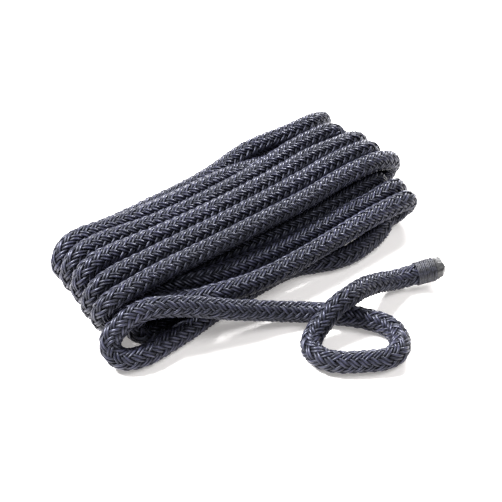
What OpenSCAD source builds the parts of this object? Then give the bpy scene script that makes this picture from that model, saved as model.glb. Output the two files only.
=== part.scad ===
// Coiled dock line: a braided rope folded into a flat hank, with both of its ends whipped and sealed.
// Millimetres. Z is up, the hank's runs lie along X, and the loose tail lies to the front, along -Y.
// The origin is the centre of the footprint, on the surface that the rope lies on.

/* [Rope] */
// Diameter of the rope
rope_d = 12.7; // [6:0.1:24]
// Thickness of the whipping on the rope's ends
whip_wall = 0.65; // [0.4:0.05:1.5]
// Length of a whipping along the rope
whip_l = 12.5; // [8:0.5:30]
// Length of the sealed tip past the rope's last full ring
tip_l = 6.5; // [2:0.5:12]

/* [Hank] */
// Length over the hank's round ends
hank_l = 240; // [150:1:600]
// Height of the hank's three layers
hank_h = 40.6; // [20:0.1:90]
// Place of the hank's front face
hank_front = 11.5; // [-40:0.5:40]
// Place of the hank's back face
hank_back = 89; // [40:0.5:140]

/* [Front turns] */
// Place of the open end of the lower turns, where the loose tail leaves them
front_start = -22; // [-100:1:60]
// Length of the lower turns that lie in front of the hank, from there to their round end
front_l = 138; // [60:1:260]
// Height of the two layers of lower turns
front_h = 25.4; // [12:0.1:60]
// Place of the front face of the lower turns
front_front = -26; // [-60:0.5:0]

/* [Loose ends] */
// Heading of the loose tail's straight last stretch, in the plan
tail_heading = -24; // [-90:1:90]
// Rise of that stretch above the level
tail_rise = 6; // [0:1:30]
// Length of each straight last stretch
stub_l = 25; // [18:0.5:60]
// Length of the second end that lies behind the hank
inner_l = 32; // [30:1:160]
// Place of the whipped tip of the second end
inner_tip_x = 46; // [-100:1:90]

/* [Hidden] */
rope_r = rope_d / 2;
whip_r = rope_r + whip_wall;
hank_r = hank_h / 2;
front_r = front_h / 2;
tip_end = 0.72;    // the sealed tip tapers to this share of the rope's radius
tip_lip = 1.06;    // the melted rim stands this far out past the rope, as a share of its radius
whip_gap = 1;      // rope left bare between a whipping and the tip
tube_sides = 12;
round_facets = 96;
first_side = [0, 1, 0];

navy = [0.10, 0.12, 0.19];
twine = [0.13, 0.14, 0.19];
melted = [0.05, 0.05, 0.07];

// The loose tail's route from the hank to its whipped end: across, forward, and the height of its underside.
tail_route = [
  [-22, -5, 0], [-37, -5.5, 0], [-52, -7, 0], [-65, -9, 0], [-79, -10, 0], [-92, -10.5, 0],
  [-102, -9, 0], [-108.5, -5, 0.5], [-111.5, 0, 3.5], [-110.5, 3.5, 8.5], [-105, 4.5, 14],
  [-99, 4, 18], [-92, 2, 20], [-83.5, -2.5, 21.5], [-73, -8, 20], [-62, -13.5, 17], [-48, -21, 12],
  [-35, -26.5, 7.5], [-21, -33, 3], [-8, -40.5, 0], [-1.5, -46.5, 0], [4.5, -53.5, 0], [11, -61, 0],
  [16, -69, 0], [19.5, -77, 0], [19.5, -85, 0], [16.5, -91, 0], [11.5, -95.5, 0], [5, -97, 0],
  [-2, -95, 0], [-9, -90.5, 0], [-16, -85.5, 0], [-21.5, -80.5, 0], [-25, -75, 0], [-26, -69.5, 0],
  [-25, -64.5, 0], [-22, -61, 0.5], [-17, -58.5, 2.5], [-11, -57.5, 5.5], [-4, -57, 9.5], [3, -57, 12.5],
  [10.5, -57, 13], [18, -55.5, 11.5], [28, -54, 8.5], [39, -53.5, 4.5], [50, -54.5, 1]
];

tail_line = [for (p = tail_route) [p[0], p[1], p[2] + rope_r]];
tail_end = tail_line[len(tail_line) - 1];
tail_dir = [cos(tail_heading) * cos(tail_rise), sin(tail_heading) * cos(tail_rise), sin(tail_rise)];
loop_front = min([for (p = tail_route) p[1]]) - rope_r;
inner_y = -loop_front - whip_r;

function unit(v) = v / norm(v);
function tangent(line, i, last_dir) =
  i == 0 ? unit(line[1] - line[0]) :
  i == len(line) - 1 ? last_dir :
  unit(unit(line[i + 1] - line[i]) + unit(line[i] - line[i - 1]));
function drop(v, dir) = unit(v - (v * dir) * dir);
function carried_sides(dirs, i) =
  i == 0 ? [drop(first_side, dirs[0])] :
  let (before = carried_sides(dirs, i - 1)) concat(before, [drop(before[i - 1], dirs[i])]);
function ring(centre, dir, side, r) =
  [for (k = [0:tube_sides - 1]) let (a = 360 * k / tube_sides)
    centre + r * (cos(a) * side + sin(a) * cross(dir, side))];
function tube_walls(rings) =
  [for (i = [0:rings - 2], k = [0:tube_sides - 1])
    let (next = (k + 1) % tube_sides)
    [i * tube_sides + k, (i + 1) * tube_sides + k, (i + 1) * tube_sides + next, i * tube_sides + next]];

// One round-sided tube through the points of a line
module tube(line, r, last_dir) {
  rings = len(line);
  dirs = [for (i = [0:rings - 1]) tangent(line, i, last_dir)];
  sides = carried_sides(dirs, rings - 1);
  points = [for (i = [0:rings - 1]) each ring(line[i], dirs[i], sides[i], r)];
  start_cap = [[for (k = [0:tube_sides - 1]) k]];
  end_cap = [[for (k = [tube_sides - 1:-1:0]) (rings - 1) * tube_sides + k]];
  polyhedron(points, concat(start_cap, tube_walls(rings), end_cap), convexity = 10);
}

// Puts the children's Z axis along the loose tail's last stretch, from the end of the route
module at_tail_end() {
  translate(tail_end) rotate([0, 90 - tail_rise, tail_heading]) children();
}

// Puts the children's Z axis along the second end's last stretch, which runs along -X behind the hank
module at_inner_end() {
  translate([inner_tip_x + stub_l, inner_y, whip_r]) rotate([0, -90, 0]) children();
}

// The ring of wound twine near a rope's end
module whipping() {
  translate([0, 0, stub_l - whip_gap - whip_l]) difference() {
    cylinder(h = whip_l, r = whip_r, $fn = round_facets);
    translate([0, 0, -1]) cylinder(h = whip_l + 2, r = rope_r, $fn = round_facets);
  }
}

// The melted and pressed end of the rope: a low rim, then a blunt taper
module sealed_tip() {
  rim_l = tip_l / 3;
  translate([0, 0, stub_l]) rotate_extrude($fn = round_facets)
    polygon([[0, 0], [rope_r, 0], [rope_r * tip_lip, rim_l], [rope_r * tip_end, tip_l], [0, tip_l]]);
}

module stub() {
  cylinder(h = stub_l, r = rope_r, $fn = round_facets);
}

// The outer shape of the hank's long turns
module hank() {
  color(navy) translate([0, hank_back, 0]) rotate([90, 0, 0]) linear_extrude(hank_back - hank_front)
    hull() for (side = [-1, 1]) translate([side * (hank_l / 2 - hank_r), hank_r])
      circle(hank_r, $fn = round_facets);
}

// The outer shape of the lower turns in front of it
module front_turns() {
  color(navy) translate([front_start, hank_front, 0]) rotate([90, 0, 0])
    linear_extrude(hank_front - front_front) hull() {
      square([front_r, front_h]);
      translate([front_l - front_r, front_r]) circle(front_r, $fn = round_facets);
    }
}

module tail() {
  color(navy) tube(tail_line, rope_r, tail_dir);
}

module tail_stub() {
  color(navy) at_tail_end() stub();
}

module tail_whipping() {
  color(twine) at_tail_end() whipping();
}

module tail_tip() {
  color(melted) at_tail_end() sealed_tip();
}

module inner_tail() {
  color(navy) translate([inner_tip_x + inner_l, inner_y, whip_r]) rotate([0, -90, 0])
    cylinder(h = inner_l, r = rope_r, $fn = round_facets);
}

module inner_whipping() {
  color(twine) at_inner_end() whipping();
}

module inner_tip() {
  color(melted) at_inner_end() sealed_tip();
}

hank();
front_turns();
tail();
tail_stub();
tail_whipping();
tail_tip();
inner_tail();
inner_whipping();
inner_tip();
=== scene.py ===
import math

import bpy
import numpy as np
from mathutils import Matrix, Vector

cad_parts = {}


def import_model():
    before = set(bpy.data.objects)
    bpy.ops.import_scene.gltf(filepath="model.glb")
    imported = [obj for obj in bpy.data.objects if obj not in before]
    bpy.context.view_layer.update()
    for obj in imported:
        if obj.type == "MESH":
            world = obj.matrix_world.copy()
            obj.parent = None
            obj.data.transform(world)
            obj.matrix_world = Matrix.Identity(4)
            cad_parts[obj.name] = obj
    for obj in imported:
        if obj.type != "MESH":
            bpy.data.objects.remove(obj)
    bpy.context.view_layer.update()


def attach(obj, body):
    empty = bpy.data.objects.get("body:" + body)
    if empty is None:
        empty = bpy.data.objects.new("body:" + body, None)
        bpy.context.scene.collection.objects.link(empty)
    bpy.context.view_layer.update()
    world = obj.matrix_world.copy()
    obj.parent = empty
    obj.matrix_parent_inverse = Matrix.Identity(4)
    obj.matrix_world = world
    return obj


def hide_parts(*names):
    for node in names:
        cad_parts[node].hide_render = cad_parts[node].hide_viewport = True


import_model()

MM = 0.001

# ---------------------------------------------------------------- sizes, in millimetres
ROPE_D = 12.7
ROPE_R = ROPE_D / 2

WHIP_WALL = 0.65
WHIP_L = 12.5
WHIP_GAP = 1
TWINE_D = 1.1
TIP_L = 6.5
STUB_L = 25

# The loose tail, from the hank to its whipped end: the route in part.scad, with the height of its underside.
TAIL_ROUTE = [
    (-22, -5, 0), (-37, -5.5, 0), (-52, -7, 0), (-65, -9, 0), (-79, -10, 0), (-92, -10.5, 0),
    (-102, -9, 0), (-108.5, -5, 0.5), (-111.5, 0, 3.5), (-110.5, 3.5, 8.5), (-105, 4.5, 14),
    (-99, 4, 18), (-92, 2, 20), (-83.5, -2.5, 21.5), (-73, -8, 20), (-62, -13.5, 17), (-48, -21, 12),
    (-35, -26.5, 7.5), (-21, -33, 3), (-8, -40.5, 0), (-1.5, -46.5, 0), (4.5, -53.5, 0), (11, -61, 0),
    (16, -69, 0), (19.5, -77, 0), (19.5, -85, 0), (16.5, -91, 0), (11.5, -95.5, 0), (5, -97, 0),
    (-2, -95, 0), (-9, -90.5, 0), (-16, -85.5, 0), (-21.5, -80.5, 0), (-25, -75, 0), (-26, -69.5, 0),
    (-25, -64.5, 0), (-22, -61, 0.5), (-17, -58.5, 2.5), (-11, -57.5, 5.5), (-4, -57, 9.5), (3, -57, 12.5),
    (10.5, -57, 13), (18, -55.5, 11.5), (28, -54, 8.5), (39, -53.5, 4.5), (50, -54.5, 1),
]
TAIL_HEADING = math.radians(-24)
TAIL_RISE = math.radians(6)
INNER_TIP_X = 46
# How far back and how high the second end's straight stretch lies
INNER_Y = 96.35
INNER_Z = 7
INNER_POINTS = 5

# The turns of the hank, from the loose tail inwards. Each is a run along X, and how far out in X
# the bend after it reaches. A run's points are across, forward, and the height of its underside.
TURNS = [
    # lower turns in front
    ([(-7, -5, 0), (12, -7, 0), (25, -13, 0), (38, -18.5, 0), (52, -20, 0), (66, -18, 0), (80, -13, 0),
      (89, -8, 0)], 103),
    ([(94, -14.5, 13.5), (80, -13.5, 13.5), (63, -12.5, 13), (45, -13.5, 12.5), (8, -14.5, 11.5),
      (-27, -11, 10), (-57, -3, 11), (-82, 7, 14)], -95),
    ([(-82, 3, 0), (-52, 4, 0), (-22, 7, 0), (8, 7, 0), (38, -2, 0), (68, -1, 0), (90, 5.5, 0)], 109),
    ([(93, -0.5, 12.5), (78, -1.5, 10.5), (58, -2, 10), (35, -1.5, 10), (15, -0.5, 11), (-20, 2.5, 12),
      (-42, 7, 12.5), (-74, 20, 13)], -84),
    ([(-74, 37, 13), (-60, 35, 13), (-42, 22, 13), (-20, 17, 13), (8, 13, 12), (38, 10, 12), (68, 9.5, 12),
      (90, 9, 13)], 103),
    ([(88, 17, 0), (68, 15, 0), (38, 15, 0), (8, 19, 0), (-32, 20, 0), (-89, 21, 0)], -106),
    # long turns
    ([(-95, 12, 26.5), (-72, 13.5, 27), (-32, 12.8, 27), (8, 11.5, 27), (48, 12.5, 26.5), (68, 14.8, 26.5),
      (84, 15, 26.5)], 118),
    ([(94, 22, 0), (68, 28, 0), (8, 31.5, 0), (-52, 32, 0), (-89, 33, 0)], -104),
    ([(-90, 26.5, 27.5), (-72, 25.7, 28), (-32, 24.7, 28), (8, 24.5, 28), (48, 25, 28), (95, 25.5, 27.5)], 112),
    ([(96, 38, 0), (68, 42, 0), (8, 44, 0), (-52, 44, 0), (-87, 45, 0)], -101),
    ([(-88, 43, 27.5), (-72, 41.5, 28), (-32, 38, 28), (8, 37, 28), (48, 39, 28), (68, 40.5, 28),
      (94, 39, 27)], 108),
    ([(96, 52, 0), (68, 55, 0), (8, 56.5, 0), (-52, 57, 0), (-85, 57.5, 0)], -99),
    ([(-85, 58, 25.5), (-72, 57.2, 26), (-32, 50.2, 26), (8, 49.5, 26), (48, 53, 26), (68, 56, 26),
      (92, 56, 25.5)], 107),
    # inner turns, between the layers
    ([(84, 40, 13), (48, 38, 13), (8, 37, 13), (-32, 38, 13), (-68, 40, 13)], -82),
    ([(-68, 61, 13), (-32, 60, 13), (8, 57, 13), (48, 52, 13), (86, 53, 13)], 100),
    # back turns
    ([(92, 69, 0), (68, 69, 0), (8, 69, 0), (-52, 70, 0), (-83, 70.5, 0)], -97),
    ([(-83, 72, 22.5), (-72, 69.5, 23), (-32, 61.4, 23.4), (8, 62, 23.4), (30, 64, 21), (50, 66, 16),
      (70, 67.5, 13.5), (88, 68, 13)], 103),
    ([(92, 82, 0), (68, 82, 0), (8, 82, 0), (-52, 83, 0), (-80, 82.5, 0)], -91),
    ([(-79, 81, 14), (-62, 75, 17.5), (-32, 73.3, 18.5), (8, 74, 18.7), (30, 76, 20), (48, 76.5, 22.5),
      (73, 73.5, 22.5), (90, 71.5, 21.5)], 116),
]
# The second end, which lies on the table behind the hank
INNER_ROUTE = [(88, 94.5, 0.3), (76, INNER_Y, INNER_Z - ROPE_R)]

BEND_STEPS = 5
NODE_STEP = 4.0      # spacing of the points that settle
RING_STEP = 1.1      # spacing of the finished rings
FINE_STEP = 0.4      # spacing at which a spline is read before it is evened out


def half_bend(a, b, reach):
    """Points of the bend that joins one run's end to the next run's start, out to the given X."""
    a, b = np.array(a, float), np.array(b, float)
    centre, half = (a + b) / 2, (a - b) / 2
    out = np.array([reach - centre[0], 0, 0])
    turns = np.linspace(0, math.pi, BEND_STEPS + 2)[1:-1]
    return [centre + half * math.cos(t) + out * math.sin(t) for t in turns]


def stub_points():
    """The loose tail's straight last stretch, from the whipped tip back."""
    start = np.array(TAIL_ROUTE[-1], float)
    along = np.array([math.cos(TAIL_HEADING) * math.cos(TAIL_RISE),
                      math.sin(TAIL_HEADING) * math.cos(TAIL_RISE), math.sin(TAIL_RISE)])
    return [start + along * STUB_L * k / 2 for k in (2, 1)]


def rope_route():
    """The whole rope's given points, from the whipped tail end to the second end, in millimetres."""
    points = stub_points() + [np.array(p, float) for p in TAIL_ROUTE[::-1]]
    for (run, reach), following in zip(TURNS, TURNS[1:] + [(INNER_ROUTE, None)]):
        points += [np.array(p, float) for p in run]
        points += half_bend(run[-1], following[0][0], reach)
    points += [np.array(INNER_ROUTE[0], float)]
    for x in np.linspace(INNER_ROUTE[1][0], INNER_TIP_X, INNER_POINTS):
        points.append(np.array([x, INNER_Y, INNER_Z - ROPE_R]))
    return np.array(points) + np.array([0, 0, ROPE_R])


def smooth_line(points, step):
    """A natural cubic spline through the points, resampled at an even spacing."""
    knots = np.r_[0, np.cumsum(np.linalg.norm(np.diff(points, axis=0), axis=1))]
    gaps = np.diff(knots)
    n = len(points)
    system, load = np.zeros((n, n)), np.zeros((n, 3))
    system[0, 0] = system[-1, -1] = 1
    for i in range(1, n - 1):
        system[i, i - 1:i + 2] = gaps[i - 1], 2 * (gaps[i - 1] + gaps[i]), gaps[i]
        load[i] = 6 * ((points[i + 1] - points[i]) / gaps[i] - (points[i] - points[i - 1]) / gaps[i - 1])
    bending = np.linalg.solve(system, load)
    fine = np.linspace(0, knots[-1], int(knots[-1] / FINE_STEP))
    k = np.clip(np.searchsorted(knots, fine, side="right") - 1, 0, n - 2)
    ahead, behind, gap = (knots[k + 1] - fine)[:, None], (fine - knots[k])[:, None], gaps[k][:, None]
    line = (bending[k] * ahead**3 + bending[k + 1] * behind**3) / (6 * gap)
    line += (points[k] / gap - bending[k] * gap / 6) * ahead
    line += (points[k + 1] / gap - bending[k + 1] * gap / 6) * behind
    return evenly(line, step)


def evenly(line, step):
    """The same line, with its points at an even spacing."""
    along = np.r_[0, np.cumsum(np.linalg.norm(np.diff(line, axis=0), axis=1))]
    marks = np.linspace(0, along[-1], int(round(along[-1] / step)) + 1)
    return np.stack([np.interp(marks, along, line[:, i]) for i in range(3)], axis=1)


SETTLE_ROUNDS = 260
CONTACT = 0.998      # ropes are pushed apart to this share of a diameter
PULL_HOME = 0.012    # how strongly each point stays on the chosen route
STIFFNESS = 0.25
TIGHTEST_BEND = 9.0  # radius that the rope's own stiffness eases towards
OWN_STRETCH = 1.9    # a point's neighbours along the rope, in diameters, don't push it
LOOK_OUT = 1.25      # pairs closer than this many diameters are watched for contact
RELIST_EVERY = 4     # rounds between fresh lists of those pairs
PUSH_SHARE = 0.35    # of an overlap, taken up by each of the two points in a round
PUSH_EASE = 0.8
KEPT_BEND = 0.97     # share of the route's own bend that is left in
STRETCH_SHARE = 0.25 # of a change in length, taken back in a round


def settle(line):
    """Lays the turns against each other and on the surface, without stretching the rope."""
    step = np.linalg.norm(np.diff(line, axis=0), axis=1).mean()
    apart = int(OWN_STRETCH * ROPE_D / step)
    order = np.arange(len(line))
    home = line
    home_bend = (home[:-2] + home[2:]) / 2 - home[1:-1]
    size = np.linalg.norm(home_bend, axis=1)[:, None]
    home_bend = home_bend * np.minimum(1, step**2 / (2 * TIGHTEST_BEND) / np.maximum(size, 1e-6))
    x = line.copy()
    for lap in range(SETTLE_ROUNDS):
        if lap % RELIST_EVERY == 0:
            distance = np.linalg.norm(x[:, None] - x[None], axis=2)
            a, b = np.where((distance < ROPE_D * LOOK_OUT) & (order[None] - order[:, None] > apart))
        between = x[b] - x[a]
        length = np.maximum(np.linalg.norm(between, axis=1), 1e-6)
        push = np.clip(ROPE_D * CONTACT - length, 0, None)
        move = between / length[:, None] * (push * PUSH_SHARE)[:, None]
        shift, count = np.zeros_like(x), np.zeros(len(x))
        np.add.at(shift, a, -move)
        np.add.at(shift, b, move)
        np.add.at(count, a, push > 0)
        np.add.at(count, b, push > 0)
        x += shift / np.maximum(count, 1)[:, None] * np.minimum(count, 2)[:, None] * PUSH_EASE
        x[1:-1] += STIFFNESS * ((x[:-2] + x[2:]) / 2 - x[1:-1] - home_bend * KEPT_BEND)
        span = x[1:] - x[:-1]
        now = np.linalg.norm(span, axis=1)
        stretch = span / now[:, None] * ((now - step) * STRETCH_SHARE)[:, None]
        x[:-1] += stretch
        x[1:] -= stretch
        x += PULL_HOME * (home - x)
        x[:, 2] = np.maximum(x[:, 2], ROPE_R)
    return x


# ---------------------------------------------------------------- the camera comes first
VIEW_AZIMUTH = math.radians(-40)
VIEW_ELEVATION = math.radians(40)
VIEW_DISTANCE = 720 * MM
VIEW_TARGET = Vector((8 * MM, 26 * MM, 0))
LENS = 85


def make_camera():
    data = bpy.data.cameras.new("camera")
    data.lens, data.sensor_width = LENS, 36
    camera = bpy.data.objects.new("camera", data)
    bpy.context.scene.collection.objects.link(camera)
    back = Vector((math.sin(VIEW_AZIMUTH) * math.cos(VIEW_ELEVATION),
                   -math.cos(VIEW_AZIMUTH) * math.cos(VIEW_ELEVATION), math.sin(VIEW_ELEVATION)))
    camera.location = VIEW_TARGET + back * VIEW_DISTANCE
    camera.rotation_mode = "QUATERNION"
    camera.rotation_quaternion = (-back).to_track_quat("-Z", "Y")
    bpy.context.scene.camera = camera


def mesh_object(name, points, faces, material, smooth=True):
    """A mesh piece that rides on the root. Points are in millimetres; faces is an array of quads, or a list."""
    mesh = bpy.data.meshes.new(name)
    if isinstance(faces, np.ndarray):
        mesh.vertices.add(len(points))
        mesh.vertices.foreach_set("co", (np.asarray(points, np.float32) * MM).ravel())
        mesh.loops.add(faces.size)
        mesh.loops.foreach_set("vertex_index", faces.astype(np.int32).ravel())
        mesh.polygons.add(len(faces))
        mesh.polygons.foreach_set("loop_start", np.arange(0, faces.size, faces.shape[1], dtype=np.int32))
        mesh.update(calc_edges=True)
    else:
        mesh.from_pydata([tuple(p * MM) for p in points], [], faces)
    mesh.polygons.foreach_set("use_smooth", np.full(len(mesh.polygons), smooth))
    mesh.materials.append(material)
    made = bpy.data.objects.new(name, mesh)
    bpy.context.scene.collection.objects.link(made)
    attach(made, "root")
    return made


# ---------------------------------------------------------------- the braid
STRANDS_EACH_WAY = 8
LAY = 3.47 * ROPE_D          # one full turn of a strand
FLOAT_R = 5.45               # radius of a strand's middle where it lies on top
SINK_R = 3.9                 # and where it dives under the other strands
YARN_R = 0.86                # half the thickness of a yarn
CORE_R = 3.9
WAVE_POWER = 0.75            # below 1, a strand stays longer on top and underneath
# How the cover is turned about the rope, on the loose tail and in the hank
TAIL_ROLL = math.radians(36)
HANK_ROLL = math.radians(27)
TAIL_END, HANK_START = 330, 480   # distances along the rope between which the roll changes over
LEVEL_SLOPE = 0.3            # the cover is turned only where the rope is flatter than this
ROLL_BLEND = 50              # length over which the roll is evened out
CORE_SIDES = 10
# Unevenness of the braid: size and wavelength along the rope
WOBBLE = {
    "twist": (0.08, 180), "swell": (0.012, 35), "wander": (0.035, 14), "radius": (0.05, 9), "roll": (0.10, 7),
    "spread": (0.05, 8),
}
# A strand's section: across and outward, in yarn radii. Two yarns side by side, with a crease between.
STRAND_SECTION = [
    (-1.93, -0.05), (-1.72, 0.55), (-1.28, 0.88), (-0.72, 0.86), (-0.24, 0.5), (0, -0.1),
    (0.24, 0.5), (0.72, 0.86), (1.28, 0.88), (1.72, 0.55), (1.93, -0.05), (0.95, -0.8), (-0.95, -0.8),
]


def carried_frames(line):
    """Tangents, and two directions across the line that turn no more than it does."""
    tangents = np.gradient(line, axis=0)
    tangents /= np.linalg.norm(tangents, axis=1)[:, None]
    sides = np.zeros_like(line)
    side = np.cross([0, 0, 1.0], tangents[0])
    for i, t in enumerate(tangents):
        side = side - t * side.dot(t)
        side /= np.linalg.norm(side)
        sides[i] = side
    return tangents, sides, np.cross(tangents, sides)


def slow_noise(rng, count, wavelength, step):
    """Smooth random values of about unit size along the line."""
    knots = rng.normal(size=int(count * step / wavelength) + 4)
    at = np.arange(count) * step / wavelength + 1
    i = at.astype(int)
    f = at - i
    f = f * f * (3 - 2 * f)
    return knots[i] * (1 - f) + knots[i + 1] * f


def wobble(rng, kind, count, step):
    size, wavelength = WOBBLE[kind]
    return size * slow_noise(rng, count, wavelength, step)


def cover_roll(tangents, sides, ups, step):
    """The turn about the line that keeps the cover's columns facing one way on every level stretch."""
    level = np.flatnonzero(np.abs(tangents[:, 2]) < LEVEL_SLOPE)
    facing = np.unwrap(np.arctan2(ups[level, 2], sides[level, 2]), period=math.pi / 2)
    roll = np.interp(np.arange(len(tangents)), level, facing)
    width = int(ROLL_BLEND / step)
    padded = np.pad(roll, (width // 2, width - 1 - width // 2), mode="edge")
    wanted = np.interp(np.arange(len(roll)) * step, (TAIL_END, HANK_START), (TAIL_ROLL, HANK_ROLL))
    return np.convolve(padded, np.ones(width) / width, mode="valid") + wanted


def ring_faces(rings, sides, offset=0):
    """Quads between consecutive rings of points."""
    ring, side = np.meshgrid(np.arange(rings - 1), np.arange(sides), indexing="ij")
    following = (side + 1) % sides
    quads = np.stack([ring * sides + side, ring * sides + following,
                      (ring + 1) * sides + following, (ring + 1) * sides + side], axis=2)
    return quads.reshape(-1, 4) + offset


def braid(line, seed):
    """Points and quads of 16 strands, each over two and under two, and of the core beneath them."""
    rng = np.random.default_rng(seed)
    count = len(line)
    step = np.linalg.norm(np.diff(line, axis=0), axis=1).mean()
    along = np.arange(count) * step
    tangents, sides, ups = carried_frames(line)
    twist = cover_roll(tangents, sides, ups, step) + wobble(rng, "twist", count, step)
    swell = 1 + wobble(rng, "swell", count, step)
    section = np.array(STRAND_SECTION) * YARN_R
    points, quads, heights = [], [], []
    turns = along / LAY
    for hand in (1, -1):
        for strand in range(STRANDS_EACH_WAY):
            wander = wobble(rng, "wander", count, step)
            angle = 2 * math.pi * (strand / STRANDS_EACH_WAY + hand * turns) + twist + wander
            phase = 2 * strand + hand * 2 * STRANDS_EACH_WAY * turns - (0.5 if hand > 0 else 2.5)
            wave = np.cos(phase * math.pi / 2)
            wave = np.sign(wave) * np.abs(wave) ** WAVE_POWER
            radius = (FLOAT_R + SINK_R) / 2 + (FLOAT_R - SINK_R) / 2 * wave
            radius = radius * swell + wobble(rng, "radius", count, step)
            outward = np.cos(angle)[:, None] * sides + np.sin(angle)[:, None] * ups
            middle = line + outward * radius[:, None]
            ahead = np.gradient(middle, axis=0)
            ahead /= np.linalg.norm(ahead, axis=1)[:, None]
            across = np.cross(ahead, outward)
            across /= np.linalg.norm(across, axis=1)[:, None]
            lift = np.cross(across, ahead)
            roll = wobble(rng, "roll", count, step)
            spread = 1 + wobble(rng, "spread", count, step)
            turned = (np.cos(roll)[:, None] * across + np.sin(roll)[:, None] * lift,
                      np.cos(roll)[:, None] * lift - np.sin(roll)[:, None] * across)
            ring = (middle[:, None] + (section[None, :, :1] * spread[:, None, None]) * turned[0][:, None]
                    + section[None, :, 1:] * turned[1][:, None])
            quads.append(ring_faces(count, len(section), sum(len(p) for p in points)))
            points.append(ring.reshape(-1, 3))
            depth = np.linalg.norm(ring - line[:, None], axis=2)
            heights.append(((depth - CORE_R) / (ROPE_R - CORE_R)).ravel())
    core_step = 2
    centres = slice(0, None, core_step)
    turn = np.arange(CORE_SIDES) * 2 * math.pi / CORE_SIDES
    core = (line[centres, None] + CORE_R * (np.cos(turn)[None, :, None] * sides[centres, None]
                                            + np.sin(turn)[None, :, None] * ups[centres, None]))
    quads.append(ring_faces(len(core), CORE_SIDES, sum(len(p) for p in points)))
    points.append(core.reshape(-1, 3))
    heights.append(np.zeros(len(points[-1])))
    return np.concatenate(points), np.concatenate(quads), np.clip(np.concatenate(heights), 0, 1)


HEIGHT_LAYER = "height"


def store_heights(piece, heights):
    """How far out each point of the braid lies, 0 to 1, for the material's painted crevice shade and its
    roughness.
    """
    layer = piece.data.attributes.new(HEIGHT_LAYER, "FLOAT", "POINT")
    layer.data.foreach_set("value", heights.astype(np.float32))


# ---------------------------------------------------------------- materials
def new_material(name):
    material = bpy.data.materials.new(name)
    material.use_nodes = True
    tree = material.node_tree
    tree.nodes.clear()
    output = tree.nodes.new("ShaderNodeOutputMaterial")
    shader = tree.nodes.new("ShaderNodeBsdfPrincipled")
    tree.links.new(shader.outputs[0], output.inputs[0])
    return material, tree, shader


def noise(tree, scale, detail=4):
    node = tree.nodes.new("ShaderNodeTexNoise")
    node.inputs["Scale"].default_value = scale
    node.inputs["Detail"].default_value = detail
    coords = tree.nodes.new("ShaderNodeTexCoord")
    tree.links.new(coords.outputs["Object"], node.inputs["Vector"])
    return node.outputs["Fac"]


def ramp(tree, source, stops):
    node = tree.nodes.new("ShaderNodeValToRGB")
    while len(node.color_ramp.elements) < len(stops):
        node.color_ramp.elements.new(0.5)
    for element, (at, color) in zip(node.color_ramp.elements, stops):
        element.position, element.color = at, (*color, 1)
    tree.links.new(source, node.inputs[0])
    return node.outputs["Color"]


def multiplied(tree, first, second):
    node = tree.nodes.new("ShaderNodeMix")
    node.data_type, node.blend_type = "RGBA", "MULTIPLY"
    node.inputs["Factor"].default_value = 1
    tree.links.new(first, node.inputs[6])
    tree.links.new(second, node.inputs[7])
    return node.outputs[2]


def value_range(tree, source, low, high, to_low, to_high):
    node = tree.nodes.new("ShaderNodeMapRange")
    for socket, value in zip(node.inputs[1:5], (low, high, to_low, to_high)):
        socket.default_value = value
    tree.links.new(source, node.inputs[0])
    return node.outputs[0]


def bump(tree, shader, source, strength, distance):
    node = tree.nodes.new("ShaderNodeBump")
    node.inputs["Strength"].default_value = strength
    node.inputs["Distance"].default_value = distance
    tree.links.new(source, node.inputs["Height"])
    tree.links.new(node.outputs[0], shader.inputs["Normal"])


def rope_material():
    """Navy nylon: satin filaments, with painted shade in the base colour: paler where a strand rides on top and
    near black down between.
    """
    material, tree, shader = new_material("navy_nylon")
    height = tree.nodes.new("ShaderNodeAttribute")
    height.attribute_name = HEIGHT_LAYER
    # painted shade: the base colour darkens with the height attribute, near black down between the strands and
    # on the core, paler on the strands' tops
    painted_crevice_shade = ramp(tree, height.outputs["Fac"], [
        (0.30, (0.0006, 0.0006, 0.0011)), (0.66, (0.0035, 0.0037, 0.0062)),
        (0.88, (0.013, 0.0136, 0.024)), (1.0, (0.040, 0.041, 0.070))])
    patches = ramp(tree, noise(tree, 60, 4), [(0.3, (0.78, 0.80, 0.80)), (0.7, (1.15, 1.12, 1.12))])
    streaks = ramp(tree, noise(tree, 1500, 3), [(0.3, (0.8, 0.81, 0.83)), (0.7, (1.2, 1.18, 1.16))])
    shade = multiplied(tree, multiplied(tree, painted_crevice_shade, patches), streaks)
    tree.links.new(shade, shader.inputs["Base Color"])
    roughness = value_range(tree, height.outputs["Fac"], 0.5, 0.95, 0.8, 0.31)
    tree.links.new(roughness, shader.inputs["Roughness"])
    shader.inputs["Specular IOR Level"].default_value = 0.42
    shader.inputs["Specular Tint"].default_value = (0.80, 0.83, 1.0, 1)
    bump(tree, shader, noise(tree, 2600, 2), 0.15, 0.00012)
    return material


def whipping_material():
    material, tree, shader = new_material("whipping_twine")
    shade = ramp(tree, noise(tree, 650, 4), [(0.36, (0.005, 0.005, 0.008)), (0.66, (0.034, 0.035, 0.052))])
    tree.links.new(shade, shader.inputs["Base Color"])
    shader.inputs["Roughness"].default_value = 0.5
    bump(tree, shader, noise(tree, 1800, 3), 0.6, 0.0003)
    return material


def tip_material():
    material, tree, shader = new_material("melted_nylon")
    shade = ramp(tree, noise(tree, 500, 4), [(0.3, (0.008, 0.008, 0.010)), (0.8, (0.035, 0.034, 0.036))])
    tree.links.new(shade, shader.inputs["Base Color"])
    shader.inputs["Roughness"].default_value = 0.42
    bump(tree, shader, noise(tree, 700, 3), 0.6, 0.0005)
    return material


# ---------------------------------------------------------------- pieces on the rope's ends
def end_frame(tip, inward):
    """Where a rope's end is, with its axis outward and two directions across it."""
    axis = tip - inward
    axis /= np.linalg.norm(axis)
    side = np.cross([0, 0, 1.0], axis)
    side /= np.linalg.norm(side)
    return tip, axis, side, np.cross(axis, side)


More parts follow.
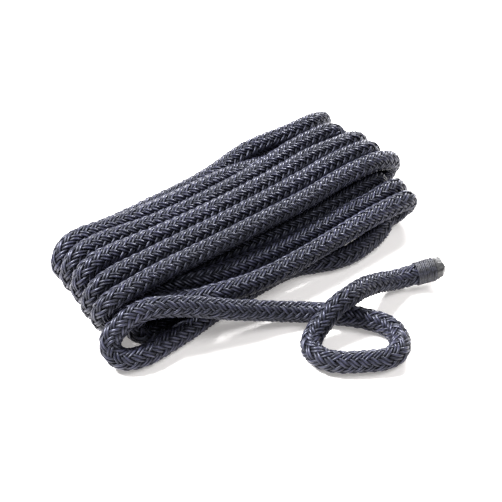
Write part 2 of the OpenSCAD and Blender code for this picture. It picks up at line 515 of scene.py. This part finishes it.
TWINE_STEPS = 40             # points in one turn of twine
TWINE_SIDES = 8
TWINE_WOBBLE = 0.10          # unevenness of the twine, in and out and along the rope
WIND_WAVE, PITCH_WAVE = 14, 22


def whipping(name, end, material, seed):
    """Twine wound round the rope, turn beside turn."""
    tip, axis, side, up = end
    rng = np.random.default_rng(seed)
    turns = int(WHIP_L / TWINE_D)
    t = np.arange(turns * TWINE_STEPS + 1) / TWINE_STEPS
    wind_r = ROPE_R + WHIP_WALL - TWINE_D / 2
    radius = wind_r + TWINE_WOBBLE * slow_noise(rng, len(t), WIND_WAVE, 1)
    back = WHIP_GAP + TWINE_D / 2 + t * (WHIP_L - TWINE_D) / turns
    back = back + TWINE_WOBBLE * slow_noise(rng, len(t), PITCH_WAVE, 1)
    outward = np.cos(2 * math.pi * t)[:, None] * side + np.sin(2 * math.pi * t)[:, None] * up
    line = tip - axis * back[:, None] + outward * radius[:, None]
    ahead = np.gradient(line, axis=0)
    ahead /= np.linalg.norm(ahead, axis=1)[:, None]
    across = np.cross(ahead, outward)
    turn = np.arange(TWINE_SIDES) * 2 * math.pi / TWINE_SIDES
    ring = line[:, None] + TWINE_D / 2 * (np.cos(turn)[None, :, None] * across[:, None]
                                          + np.sin(turn)[None, :, None] * outward[:, None])
    made = mesh_object(name, ring.reshape(-1, 3), ring_faces(len(line), TWINE_SIDES), material)
    return made


TIP_SIDES, TIP_RINGS = 48, 16
TIP_ROUGHNESS = 0.09
TIP_REACH = 0.7              # share of the rings that run along the side; the rest close the end
TIP_OVERLAP = 0.2            # share of the tip's length that starts back on the rope
# The melted end's flat faces: direction along the rope, up and sideways, and distance from the last full ring.
TIP_FACES = [
    (0.96, 0.28, 0.0, 5.0), (0.61, -0.79, 0.0, 4.8), (0.78, 0.18, 0.6, 5.6), (0.72, -0.1, -0.69, 5.5),
    (0.35, 0.94, 0.0, 6.1), (0.3, 0.3, 0.9, 6.0), (0.25, -0.6, -0.75, 5.9),
]


def sealed_tip(name, end, material, seed):
    """The melted end: strands fused into a blunt, faceted lump."""
    tip, axis, side, up = end
    rng = np.random.default_rng(seed)
    turn = np.arange(TIP_SIDES) * 2 * math.pi / TIP_SIDES
    lobes = 0.03 * np.cos(9 * turn + 1) + 0.03 * np.cos(4 * turn + 2)
    points = []
    for k in range(TIP_RINGS + 1):
        share = k / TIP_RINGS
        along = TIP_L * ((1 + TIP_OVERLAP) * min(1, share / TIP_REACH) - TIP_OVERLAP)
        radius = ROPE_R * (1 + lobes) * min(1, (1.02 - share) / 0.3)
        ring = np.stack([np.full(TIP_SIDES, along), radius * np.sin(turn), radius * np.cos(turn)], axis=1)
        ring += TIP_ROUGHNESS * rng.normal(size=ring.shape)
        for *facing, reach in TIP_FACES:
            facing = np.array(facing) / np.linalg.norm(facing)
            ring -= facing * np.clip(ring @ facing - reach, 0, None)[:, None]
        points.append(tip + ring @ np.stack([axis, up, side]))
    points = np.concatenate(points)
    faces = [list(map(int, f)) for f in ring_faces(TIP_RINGS + 1, TIP_SIDES)]
    faces.append([int(i) for i in TIP_RINGS * TIP_SIDES + np.arange(TIP_SIDES)])
    made = mesh_object(name, points, faces, material)
    return made


# ---------------------------------------------------------------- build
make_camera()
settled = settle(smooth_line(rope_route(), NODE_STEP))
rope_line = smooth_line(settled, RING_STEP)
rope_points, rope_quads, rope_heights = braid(rope_line, seed=4)
rope = mesh_object("rope", rope_points, rope_quads, rope_material())
store_heights(rope, rope_heights)
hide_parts("hank", "front_turns", "tail", "tail_stub", "inner_tail")

END_SPAN = 8                 # points over which an end's direction is taken
tail_frame = end_frame(rope_line[0], rope_line[END_SPAN])
inner_frame = end_frame(rope_line[-1], rope_line[-1 - END_SPAN])
twine_look, tip_look = whipping_material(), tip_material()
tail_whipping = whipping("whipping_tail", tail_frame, twine_look, 11)
inner_whipping = whipping("whipping_inner", inner_frame, twine_look, 12)
tail_tip = sealed_tip("tip_tail", tail_frame, tip_look, 21)
inner_tip = sealed_tip("tip_inner", inner_frame, tip_look, 22)
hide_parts("tail_whipping")
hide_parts("inner_whipping")
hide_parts("tail_tip")
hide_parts("inner_tip")


# ---------------------------------------------------------------- floor and light
FLOOR_HALF = 3.0             # metres
WORLD_LIGHT = 0.12
# Name, place and size in metres, and power in watts
LIGHTS = [
    ("key", (-0.45, 0.55, 0.9), 0.30, 47),
    ("fill", (0.3, -0.5, 1.0), 0.6, 7),
    ("side", (0.85, 0.5, 0.5), 0.3, 18),
]


def floor():
    material, tree, shader = new_material("pale_floor")
    shader.inputs["Base Color"].default_value = (0.93, 0.91, 0.90, 1)
    shader.inputs["Roughness"].default_value = 0.9
    shader.inputs["Emission Color"].default_value = (1, 0.97, 0.95, 1)
    shader.inputs["Emission Strength"].default_value = 0.3
    half = FLOOR_HALF
    mesh = bpy.data.meshes.new("floor")
    corners = [(-half, -half, 0), (half, -half, 0), (half, half, 0), (-half, half, 0)]
    mesh.from_pydata(corners, [], [(0, 1, 2, 3)])
    mesh.materials.append(material)
    made = bpy.data.objects.new("floor", mesh)
    bpy.context.scene.collection.objects.link(made)


def area_light(name, place, size, power):
    data = bpy.data.lights.new(name, "AREA")
    data.size, data.energy = size, power
    light = bpy.data.objects.new(name, data)
    light.location = place
    light.rotation_mode = "QUATERNION"
    light.rotation_quaternion = (-Vector(place)).to_track_quat("-Z", "Y")
    bpy.context.scene.collection.objects.link(light)


def world(strength):
    made = bpy.data.worlds.new("studio")
    made.use_nodes = True
    background = made.node_tree.nodes["Background"]
    background.inputs["Color"].default_value = (1, 1, 1, 1)
    background.inputs["Strength"].default_value = strength
    bpy.context.scene.world = made


bpy.context.scene.view_settings.view_transform = "Standard"
floor()
world(WORLD_LIGHT)
for light in LIGHTS:
    area_light(*light)
